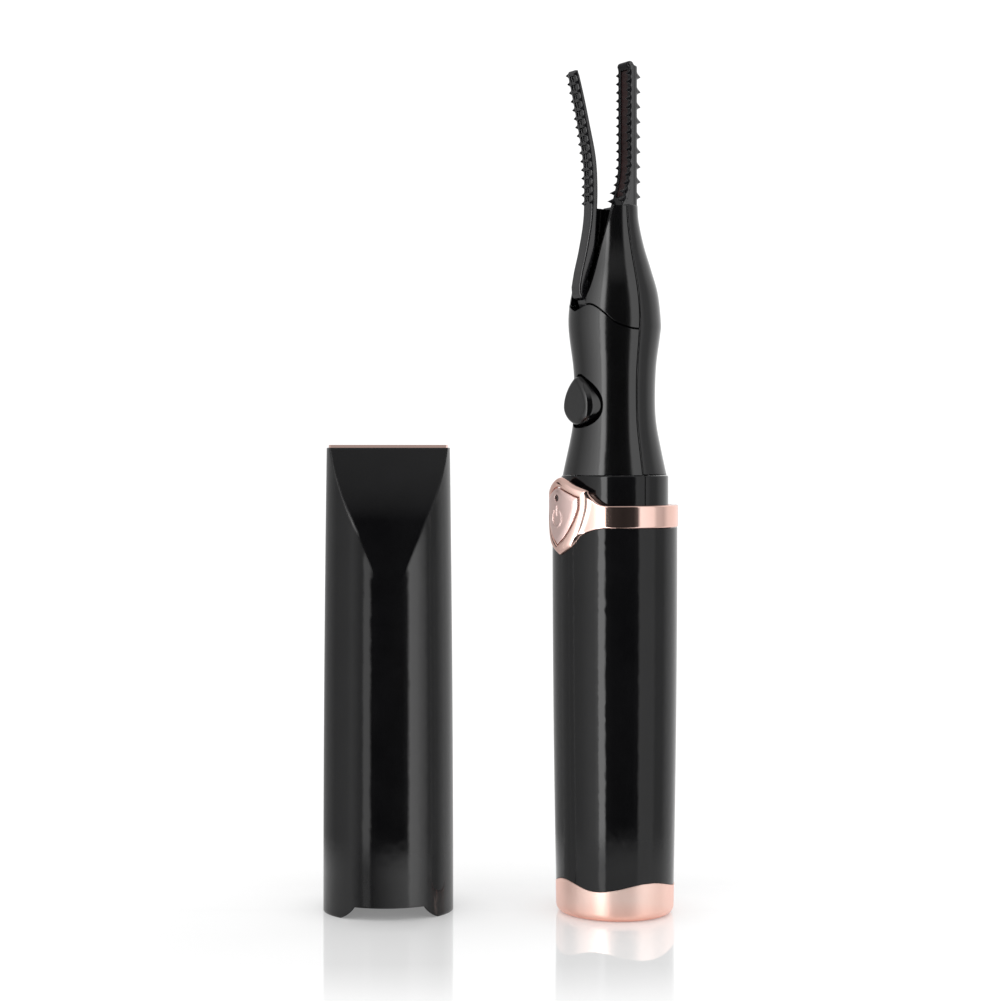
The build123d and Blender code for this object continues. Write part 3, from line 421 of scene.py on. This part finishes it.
def mesh_from_field(name, field, low, high, step):
    """The surface where a field is zero, inside a box, as a smooth-shaded mesh object. Each
    grid cell that the surface passes gets one point, which is then drawn onto the surface."""
    axes = [np.arange(a, b + step, step) for a, b in zip(low, high)]
    values = field(axes[0][:, None, None], axes[1][None, :, None], axes[2][None, None, :])
    inside = values < 0
    corners = [(i, j, k) for i in (0, 1) for j in (0, 1) for k in (0, 1)]

    def shifted(array, offset):
        return array[tuple(slice(o, n - 1 + o) for o, n in zip(offset, inside.shape))]

    count = sum(shifted(inside, corner).astype(np.int8) for corner in corners)
    cells = np.argwhere((count > 0) & (count < 8))
    point_of_cell = np.full(count.shape, -1, np.int64)
    point_of_cell[tuple(cells.T)] = np.arange(len(cells))
    total = np.zeros((len(cells), 3))
    hits = np.zeros(len(cells))
    for corner in corners:
        for axis in range(3):
            if corner[axis]:
                continue
            here = cells + corner
            there = here.copy()
            there[:, axis] += 1
            a = values[tuple(here.T)]
            b = values[tuple(there.T)]
            crossed = (a < 0) != (b < 0)
            part = np.where(crossed, a / np.where(crossed, a - b, 1), 0)
            spot = here.astype(float)
            spot[:, axis] += part
            total[crossed] += spot[crossed]
            hits[crossed] += 1
    points = np.array(low) + total / hits[:, None] * step
    quads = []
    for axis in range(3):
        u = np.eye(3, dtype=int)[(axis + 1) % 3]
        v = np.eye(3, dtype=int)[(axis + 2) % 3]
        first = inside[tuple(slice(0, -1) if k == axis else slice(1, -1) for k in range(3))]
        second = inside[tuple(slice(1, None) if k == axis else slice(1, -1) for k in range(3))]
        edges = np.argwhere(first != second) + u + v
        outward = inside[tuple(edges.T)]
        ring = np.stack([point_of_cell[tuple((edges - back).T)] for back in (u + v, v, 0 * u, u)],
                        axis=1)
        ring[~outward] = ring[~outward][:, ::-1]
        quads.append(ring)
    quads = np.vstack(quads)
    for _ in range(DRAW_PASSES):
        here = field(*points.T)
        slope = np.stack([(field(*(points + SLOPE_REACH * d).T) - here) / SLOPE_REACH
                          for d in np.eye(3)], axis=1)
        steepness = np.maximum((slope**2).sum(axis=1), LEAST_STEEPNESS)
        move = slope * (here / steepness)[:, None]
        size = np.linalg.norm(move, axis=1)
        points -= move * np.minimum(1, step / 2 / np.maximum(size, 1e-9))[:, None]
    mesh = bpy.data.meshes.new(name)
    mesh.from_pydata((points / 1000).tolist(), [], quads.tolist())
    mesh.polygons.foreach_set("use_smooth", [True] * len(mesh.polygons))
    piece = bpy.data.objects.new(name, mesh)
    bpy.context.scene.collection.objects.link(piece)
    return piece


def stands_for(piece, node, body, material):
    """Puts a piece on a body in place of a CAD node."""
    piece.data.materials.append(material)
    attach(piece, body)
    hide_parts(node)


# ---- shield bezel and its button --------------------------------------------------------
HALF_WIDTH, HALF_DEPTH = 11.6, 10.904  # the handle's oval at the band
BAND_LOW, BAND_HIGH = 68.3, 72.2
BAND_WALL, BAND_PROUD = 1.3, 0.15
BAND_RISE = (8.8, 2.8, 1.9, 2.0)  # half width, run, power and height of the swell in front
BAND_SAG = (8.6, 4.0, 1.5, 1.3)
DRUM_RADIUS, DRUM_FRONT = 9.8, -12.0  # the shield's face is part of an upright drum
SHIELD_BACK, SHIELD_ROUNDING, SHIELD_FILLET = -5.0, 1.3, 0.55
WINDOW_GAP, WINDOW_ROUNDING = 0.17, 0.45
BUTTON_PROUD, BUTTON_BACK = 0.05, -9.75
CHAMFER_DEPTH, CHAMFER_WIDTH = 0.22, 0.65
SYMBOL_CENTRE, SYMBOL_RADIUS, SYMBOL_LINE, SYMBOL_PROUD = 69.9, 1.45, 0.21, 0.2
SYMBOL_OPENING = 0.75
BAR_LOW, BAR_HIGH = 70.51, 71.99
LIGHT_HOLE_RADIUS, LIGHT_HOLE_Z = 0.62, 73.45
SHIELD = mirrored(np.vstack([
    smooth_path([(0, 77.1), (2.3, 76.45), (3.9, 75.75), (6.45, 75.0)], start=(1, 0), end=(1, -0.25)),
    smooth_path([(6.45, 75.0), (6.35, 71.4), (5.05, 67.4), (3.2, 65.1), (0, 63.45)])[1:],
]))
BUTTON = mirrored(np.vstack([
    smooth_path([(0, 75.2), (2.4, 74.45), (4.8, 73.5)], start=(1, 0), end=(1, -0.25)),
    smooth_path([(4.8, 73.5), (4.7, 71.6), (3.65, 69.1), (2.0, 66.85), (0, 65.3)])[1:],
]))


def front_drum(x, y, proud=0.0):
    return np.hypot(x, y - DRUM_FRONT - DRUM_RADIUS) - DRUM_RADIUS - proud


def swell(x, front, half_width, run, power, height):
    """How far the band's edge leaves its line towards the shield."""
    share = np.where(front, np.clip((half_width - np.abs(x)) / run, 0, 1), 0)
    return share**power * height


def bezel_field(x, y, z):
    """The band, and the shield that grows out of it in front round the button's window."""
    skin = oval(x, y, HALF_WIDTH, HALF_DEPTH)
    front = y < 0
    edges = np.maximum(z - BAND_HIGH - swell(x, front, *BAND_RISE),
                       BAND_LOW - swell(x, front, *BAND_SAG) - z)
    band = soft_max(soft_max(skin - BAND_PROUD, -(skin + BAND_WALL), 0.1), edges, 0.35)
    plate = soft_max(outline_distance(x, z, SHIELD), front_drum(x, y), SHIELD_ROUNDING)
    plate = soft_max(soft_max(plate, y - SHIELD_BACK, 0.1), -(skin + 0.02), 0.05)
    window = outline_distance(x, z, BUTTON) - WINDOW_GAP
    return soft_max(soft_min(band, plate, SHIELD_FILLET), np.where(front, -window, -9.0),
                    WINDOW_ROUNDING)


def button_field(x, y, z):
    """A chamfered shield with a raised power sign and a hole for the light."""
    outer = outline_distance(x, z, BUTTON)
    face = front_drum(x, y, BUTTON_PROUD)
    chamfer = face + CHAMFER_DEPTH * (1 + outer / CHAMFER_WIDTH)
    body = soft_max(soft_max(outer, face, 0.08), chamfer, 0.12)
    body = soft_max(body, y - BUTTON_BACK, 0.05)
    ring = np.abs(np.hypot(x, z - SYMBOL_CENTRE) - SYMBOL_RADIUS) - SYMBOL_LINE
    ring = np.maximum(ring, -np.maximum(np.abs(x) - SYMBOL_OPENING, SYMBOL_CENTRE - z))
    bar = np.hypot(x, z - np.clip(z, BAR_LOW, BAR_HIGH)) - SYMBOL_LINE
    symbol = soft_max(np.minimum(ring, bar), front_drum(x, y, SYMBOL_PROUD), 0.12)
    body = soft_min(body, np.maximum(symbol, y + 11), 0.06)
    return soft_max(body, LIGHT_HOLE_RADIUS - np.hypot(x, z - LIGHT_HOLE_Z), 0.1)


bezel = mesh_from_field("shield_bezel", bezel_field, (-12.1, -12.4, 63.0), (12.1, 11.4, 77.5), 0.14)
stands_for(bezel, "ring_bezel", "handle", PLATING)
button = mesh_from_field("shield_button", button_field,
                         (-5.2, -12.6, 64.8), (5.2, -9.4, 75.6), 0.08)
stands_for(button, "power_button", "power_button", SATIN)

# ---- clamp button -----------------------------------------------------------------------
TEARDROP = mirrored(np.vstack([
    smooth_path([(0, 86.1), (4.4, 89.5)], start=(1, 0), end=(0, 1), steps=24),
    smooth_path([(4.4, 89.5), (0.5, 94.9)], start=(0, 1), end=(-1, 0.55), steps=24)[1:],
    [(0.0, 94.95)],
]))


CLAMP_FACE, CLAMP_BACK, CLAMP_ROUNDING = -8.4, -4.9, 0.6
CLAMP_SLOPE = (0.92, 0.39, 1.15)  # across, inwards and depth of its sloping sides
CLAMP_WALL, CLAMP_FLOOR = 0.9, -6.0
FLANGE_HALF = (2.1, 0.3, 5.3)
FLANGE_Y, FLANGE_Z = -5.1, 90.5
POST_TOP, POST_BOTTOM, POST_HALF_WIDTH = 91.0, 88.8, 1.1
POST_FRONT, POST_BACK = -6.5, -3.2
POST_TAPER = (-4.6, 1.4, 0.9, 0.7)  # start, run, and fall of its top and rise of its bottom


def clamp_field(x, y, z):
    """A hollow teardrop with sloping sides, its flange and the post that meets the rocker."""
    outer = outline_distance(x, z, TEARDROP)
    face = CLAMP_FACE - y
    across, inwards, depth = CLAMP_SLOPE
    slope = across * outer + inwards * (face + depth)
    body = soft_max(soft_max(outer, slope, 0.1), face, CLAMP_ROUNDING)
    hollow = soft_max(soft_max(outer + CLAMP_WALL, CLAMP_FLOOR - y, 0.1), y + 3.0, 0.1)
    body = soft_max(soft_max(body, y - CLAMP_BACK, 0.1), -hollow, 0.1)
    plate = np.maximum(np.maximum(np.abs(x) - FLANGE_HALF[0], np.abs(y - FLANGE_Y) - FLANGE_HALF[1]),
                       np.abs(z - FLANGE_Z) - FLANGE_HALF[2])
    start, run, fall, climb = POST_TAPER
    reach = np.clip((y - start) / run, 0, 1)
    post = np.maximum(np.maximum(z - POST_TOP + fall * reach, POST_BOTTOM + climb * reach - z),
                      np.maximum(np.abs(x) - POST_HALF_WIDTH,
                                 np.maximum(POST_FRONT - y, y - POST_BACK)))
    return soft_min(body, np.minimum(plate, post), 0.05)


clamp = mesh_from_field("teardrop_button", clamp_field, (-4.8, -8.8, 84.8), (4.8, -2.9, 96.2), 0.09)
stands_for(clamp, "clamp_button", "clamp_button", NECK_BLACK)

# ---- neck's back half and the comb jaws -------------------------------------------------
# Outlines as (radius, z) for the neck and (y, z) for the jaws.
NECK = smooth_path([(9.25, 77.45), (8.3, 81.9), (7.45, 86.5), (7.2, 90.8), (7.4, 96.8),
                    (8.1, 102.2), (8.25, 104.5), (7.7, 109.6), (6.5, 113.9), (5.2, 118.2),
                    (4.3, 122.5), (4.1, 125.3)])
JAW_FACE = smooth_path([(0.12, 125.0), (1.455, 129.5), (1.9, 134.0)], start=(0.4, 1), end=(0, 1))
ARM_FRONT = smooth_path([(-8.0, 112.0), (-6.8, 117.1), (-5.85, 122.3), (-5.65, 127.0),
                         (-5.85, 132.5), (-7.05, 139.4), (-8.9, 147.7)],
                        start=(0.15, 1), end=(-0.25, 1), steps=4)
ARM_TIP = smooth_path([(-8.9, 147.7), (-8.75, 148.6), (-8.05, 147.7)],
                      start=(-0.25, 1), end=(0.2, -1), steps=6)
ARM_BACK = smooth_path([(-8.05, 147.7), (-7.0, 143.8), (-5.95, 139.4), (-4.65, 133.5),
                        (-4.3, 128.0), (-4.5, 122.3), (-5.0, 116.5), (-6.6, 111.4)], steps=4)
ARM_FOOT = [(-6.6, 111.4), (-6.3, 109.0), (-7.0, 108.3), (-7.75, 108.65), (-8.15, 109.3),
            (-8.25, 110.6)]
ARM_OUTLINE = np.vstack([ARM_FRONT, ARM_TIP[1:], ARM_BACK[1:], ARM_FOOT[1:]])
ARM_NECK = np.array([(-7.0, 108.3), (-6.4, 112.2), (-4.3, 109.0), (-2.6, 105.2), (-5.7, 104.3)])
ARM_TAIL = np.array([(-4.6, 97.7), (-4.6, 104.0), (-3.2, 104.0), (-3.2, 97.7)])
JAW_PIVOT = (-4.0, 104.0)
RUNG_TOP, RUNG_PITCH, RUNGS = 147.9, 1.49, 16
TOOTH_CURVE, TOOTH_TIP, TOOTH_ROOT, TOOTH_DROOP = 1.25, 0.97, 0.6, 0.16


def teeth(x, y, z, side, face, reach, first, pitch, count, half_height, half_width=0.26):
    """A row of pointed teeth on both rails of a comb, standing out from a face."""
    row = np.clip(np.round((first - z) / pitch), 0, count - 1)
    out = (y - face) / reach
    girth = np.maximum(1.0 - out, 0.0) ** TOOTH_CURVE
    round_it = np.hypot((np.abs(x) - side) / half_width,
                        (z - first + row * pitch + TOOTH_DROOP * out) / half_height)
    return np.maximum(np.maximum((round_it - girth) * half_width, (out - TOOTH_TIP) * np.abs(reach)),
                      -(out + TOOTH_ROOT) * np.abs(reach))


SHELL_LOW, SHELL_HIGH, SHELL_WALL, HOLLOW_TOP = 77.45, 125.3, 1.2, 118.0
SEAM_Y = 0.11
WIRE_WAY = (1.3, 2.2, 0.95)  # half width, middle and half depth of the wires' way to the jaw
WIRE_WAY_LOW, WIRE_WAY_HIGH = 116.5, 127.5


def wire_way(x, y):
    half_width, middle, half_depth = WIRE_WAY
    return np.maximum(np.abs(x) - half_width, np.abs(y - middle) - half_depth)


def back_shell_field(x, y, z):
    """The neck's back half: round, waisted and hollow."""
    radius = np.interp(z, NECK[:, 1], NECK[:, 0])
    wall = np.hypot(x, y) - radius
    ends = np.maximum(SHELL_LOW - z, z - SHELL_HIGH)
    body = soft_max(np.maximum(wall, SEAM_Y - y), ends, 0.12)
    body = soft_max(wall, body, 0.12)
    hollow = np.maximum(np.hypot(x, y) - radius + SHELL_WALL, z - HOLLOW_TOP)
    groove = np.maximum(wire_way(x, y), WIRE_WAY_LOW - z)
    return np.maximum(body, -np.minimum(hollow, groove))


JAW_HALF_WIDTH, JAW_BACK, JAW_ROUNDING = 2.0, 4.1, 1.7
JAW_LOW, JAW_HIGH = 119.0, 150.4
KNOB_Y, KNOB_Z, KNOB_RADIUS, KNOB_HALF_WIDTH = 2.25, 150.4, 0.72, 1.85
LUMP_Y, LUMP_Z, LUMP_RADIUS, LUMP_X = 2.9, 150.35, 0.5, 0.8
POCKET_HALF_WIDTH, POCKET_DEPTH, POCKET_LOW, POCKET_HIGH = 1.15, 1.15, 127.0, 149.6
FRONT_TEETH = (-0.76, 148.9, 1.5, 16, 0.44, 0.27)  # reach, first, pitch, count, half sizes
HOOK_TEETH = (-1.25, 127.9, 1.5, 2, 0.5, 0.27)
BACK_TEETH = (0.8, 148.5, 2.67, 9, 0.5, 0.28)
FRONT_RAIL, BACK_RAIL, BACK_FACE = 1.66, 1.25, 4.0


def fixed_jaw_field(x, y, z):
    """The fixed comb jaw: a pocket for the heated strip between two toothed rails."""
    face = np.interp(z, JAW_FACE[:, 1], JAW_FACE[:, 0])
    side = np.abs(x) - JAW_HALF_WIDTH
    body = soft_max(soft_max(side, y - JAW_BACK, JAW_ROUNDING), face - y, 0.3)
    body = soft_max(body, np.maximum(z - JAW_HIGH, JAW_LOW - z), 0.35)
    knob = soft_max(np.hypot(y - KNOB_Y, z - KNOB_Z) - KNOB_RADIUS, np.abs(x) - KNOB_HALF_WIDTH, 0.5)
    lumps = soft_max(np.hypot(y - LUMP_Y, z - LUMP_Z) - LUMP_RADIUS,
                     np.abs(np.abs(x) - LUMP_X) - LUMP_RADIUS, 0.3)
    body = soft_min(soft_min(body, knob, 0.25), lumps, 0.2)
    pocket = np.maximum(np.maximum(np.abs(x) - POCKET_HALF_WIDTH, y - face - POCKET_DEPTH),
                        np.maximum(POCKET_LOW - z, z - POCKET_HIGH))
    groove = np.maximum(wire_way(x, y), z - WIRE_WAY_HIGH)
    body = np.maximum(soft_max(body, -pocket, 0.2), -groove)
    front = teeth(x, y, z, FRONT_RAIL, face, *FRONT_TEETH)
    hooks = teeth(x, y, z, FRONT_RAIL, face, *HOOK_TEETH)
    back = teeth(x, y, z, BACK_RAIL, BACK_FACE, *BACK_TEETH)
    return soft_min(body, np.minimum(np.minimum(front, hooks), back), 0.12)


ARM_HALF_WIDTH, ARM_ROUNDING = 1.5, 0.5
GAP_HALF_WIDTH, GAP_HALF_HEIGHT, GAP_DEPTH = 0.9, 0.5, 0.45
ARM_RAIL, ARM_TOOTH_REACH, ARM_TOOTH_HALF = 1.22, -0.7, (0.36, 0.22)
ARM_TEETH_LOW = 124.0
EYE_RADIUS, LEVER_HALF_WIDTH = 1.8, 1.3
SPRING_RECESS_RADIUS, SPRING_RECESS_X, SPRING_RECESS_HALF = 2.1, 1.0, 1.1
PIN_HOLE_RADIUS = 0.85


def arm_field(x, y, z):
    """The moving arm: a comb with rungs above, an eye for the jaw pin and a tail below."""
    body = soft_max(outline_distance(y, z, ARM_OUTLINE), np.abs(x) - ARM_HALF_WIDTH, ARM_ROUNDING)
    face = np.interp(z, ARM_FRONT[:, 1], ARM_FRONT[:, 0])
    row = np.clip(np.round((RUNG_TOP - z) / RUNG_PITCH - 0.5), 0, RUNGS - 2)
    off = z - RUNG_TOP + (row + 0.5) * RUNG_PITCH
    gap = soft_max(soft_max(np.abs(x) - GAP_HALF_WIDTH, np.abs(off) - GAP_HALF_HEIGHT, 0.2),
                   np.abs(y - face) - GAP_DEPTH, 0.1)
    body = soft_max(body, -gap, 0.12)
    rows = teeth(x, y, z, ARM_RAIL, face, ARM_TOOTH_REACH, RUNG_TOP, RUNG_PITCH, RUNGS,
                 *ARM_TOOTH_HALF)
    body = soft_min(body, np.where(z > ARM_TEETH_LOW, rows, 9.0), 0.1)
    lever = np.minimum(outline_distance(y, z, ARM_NECK), outline_distance(y, z, ARM_TAIL))
    from_pivot = np.hypot(y - JAW_PIVOT[0], z - JAW_PIVOT[1])
    lever = soft_max(soft_min(lever, from_pivot - EYE_RADIUS, 0.2), np.abs(x) - LEVER_HALF_WIDTH,
                     0.15)
    recess = np.maximum(from_pivot - SPRING_RECESS_RADIUS,
                        np.abs(x - SPRING_RECESS_X) - SPRING_RECESS_HALF)
    body = np.maximum(np.minimum(body, lever), -recess)
    return np.maximum(body, PIN_HOLE_RADIUS - from_pivot)


back_shell = mesh_from_field("neck_back", back_shell_field,
                             (-9.4, -0.2, 77.2), (9.4, 9.4, 125.6), 0.22)
stands_for(back_shell, "neck_back_shell", "handle", NECK_BACK)
fixed_jaw = mesh_from_field("fixed_comb_jaw", fixed_jaw_field,
                            (-2.3, -1.6, 118.8), (2.3, 5.2, 151.5), 0.09)
stands_for(fixed_jaw, "neck_back_shell", "handle", JAW_BLACK)
arm = mesh_from_field("comb_arm", arm_field, (-1.8, -10.0, 97.3), (1.8, -1.8, 149.0), 0.09)
stands_for(arm, "jaw_arm", "jaw_arm", COMB_BLACK)

# ---- studio ----------------------------------------------------------------------------
# The camera is level, as the photograph's upright lines are, and its lens is shifted down.
LENS = 76.8
LENS_SHIFT = -0.04545
SENSOR_WIDTH = 36.0
NEAREST_SEEN = 0.01
PLAIN_SKY = 1.10  # the studio's brightness for everything but reflections

camera_data = bpy.data.cameras.new("camera")
camera_data.lens = LENS
camera_data.sensor_width = SENSOR_WIDTH
camera_data.shift_y = LENS_SHIFT
camera_data.clip_start = NEAREST_SEEN
camera = bpy.data.objects.new("camera", camera_data)
camera.location = CAMERA_AT
camera.rotation_euler = CAMERA_FORWARD.to_track_quat("-Z", "Y").to_euler()
bpy.context.scene.collection.objects.link(camera)
bpy.context.scene.camera = camera
bpy.context.scene.view_settings.view_transform = "Standard"

world = bpy.data.worlds.new("studio")
bpy.context.scene.world = world
world.use_nodes = True
g = Graph(world.node_tree)
direction = g.add("ShaderNodeTexCoord").outputs["Generated"]
seen = studio_light(g, direction)
path = g.add("ShaderNodeLightPath")
glossy_sky = g.add("ShaderNodeBackground", {"Color": seen, "Strength": GLOW_SCALE})
plain_sky = g.add("ShaderNodeBackground", {"Color": (1, 1, 1, 1), "Strength": PLAIN_SKY})
sky = g.add("ShaderNodeMixShader", {0: path.outputs["Is Glossy Ray"], 1: plain_sky.outputs[0],
                                    2: glossy_sky.outputs[0]})
g.add("ShaderNodeOutputWorld", {"Surface": sky.outputs[0]})

# ---- floor -----------------------------------------------------------------------------
FLOOR_RADIUS, FLOOR_SIDES = 6.0, 96
FLOOR_DROP = 0.00002  # keeps it out of the plane of the base's underside
FLOOR_TONE, FLOOR_LIFT, FLOOR_ROUGHNESS = (0.80, 0.80, 0.80), 0.22, 0.018
# A contact shadow painted into the floor's colour, over this reach round the pieces.
CONTACT_SHADOW_TONE, CONTACT_SHADOW_REACH = (0.60, 0.60, 0.60), 0.009
# Shares of mirroring; distances in metres.
MIRROR_NEAR, MIRROR_FAR, MIRROR_FROM, MIRROR_TO = 0.33, 0.09, 0.040, 0.070
SPREAD_FROM, SPREAD_TO = 0.05, 0.10  # fades round the middle of the two bodies
BEHIND, BEHIND_SHARE = -0.025, 0.06  # fades behind them, seen from the camera
MISSED_FROM, MISSED_BEYOND = 0.035, 0.085  # longer reflections miss the floor

bpy.ops.mesh.primitive_circle_add(vertices=FLOOR_SIDES, radius=FLOOR_RADIUS, fill_type="NGON",
                                  location=(0, 0, -FLOOR_DROP))
floor = bpy.context.object
floor.name = "floor"
floor_finish = bpy.data.materials.new("pale_floor")
floor_finish.use_nodes = True
g = Graph(floor_finish.node_tree)
where = g.add("ShaderNodeTexCoord").outputs["Object"]
path = g.add("ShaderNodeLightPath")
# Painted contact shadow: the floor's colour darkens where ambient occlusion finds nearby parts.
painted_contact_shadow = g.add("ShaderNodeAmbientOcclusion", {"Distance": CONTACT_SHADOW_REACH}, samples=8).outputs["AO"]
flat = g.add("ShaderNodeBsdfDiffuse", {"Color": g.mix(painted_contact_shadow, CONTACT_SHADOW_TONE, FLOOR_TONE)})
shine = g.add("ShaderNodeBsdfGlossy", {"Color": (1, 1, 1, 1), "Roughness": FLOOR_ROUGHNESS})
toward = g.add("ShaderNodeVectorMath", {0: where, 1: (-CAMERA_FORWARD.x, -CAMERA_FORWARD.y, 0)},
               operation="DOT_PRODUCT").outputs["Value"]
mirror_share = g.add("ShaderNodeMapRange", {
    "Value": toward, "From Min": MIRROR_FROM, "From Max": MIRROR_TO,
    "To Min": MIRROR_NEAR, "To Max": MIRROR_FAR}).outputs[0]
middle = [(low + high) / 2 for low, high in zip(*CAD_BOX)]
apart = g.add("ShaderNodeVectorMath", {0: where, 1: (middle[0], middle[1], 0)},
              operation="DISTANCE").outputs["Value"]
nearby = g.add("ShaderNodeMapRange", {
    "Value": apart, "From Min": SPREAD_FROM, "From Max": SPREAD_TO,
    "To Min": 1.0, "To Max": 0.0}, interpolation_type="SMOOTHSTEP").outputs[0]
in_front = g.add("ShaderNodeMapRange", {
    "Value": toward, "From Min": BEHIND, "From Max": 0.0,
    "To Min": BEHIND_SHARE, "To Max": 1.0}).outputs[0]
share = g.math("MULTIPLY", g.math("MULTIPLY", mirror_share, nearby), in_front)
both = g.add("ShaderNodeMixShader", {0: share, 1: flat.outputs[0], 2: shine.outputs[0]})
lift = g.add("ShaderNodeEmission", {"Color": (1, 1, 1, 1), "Strength": FLOOR_LIFT})
lifted = g.add("ShaderNodeAddShader", {0: both.outputs[0], 1: lift.outputs[0]})
missed = g.add("ShaderNodeMapRange", {
    "Value": path.outputs["Ray Length"], "From Min": MISSED_FROM, "From Max": MISSED_BEYOND,
    "To Min": 0.0, "To Max": 1.0}, interpolation_type="SMOOTHSTEP").outputs[0]
gone = g.math("MULTIPLY", missed, path.outputs["Is Glossy Ray"])
clear = g.add("ShaderNodeBsdfTransparent")
shown = g.add("ShaderNodeMixShader", {0: gone, 1: lifted.outputs[0], 2: clear.outputs[0]})
g.add("ShaderNodeOutputMaterial", {"Surface": shown.outputs[0]})
floor.data.materials.append(floor_finish)
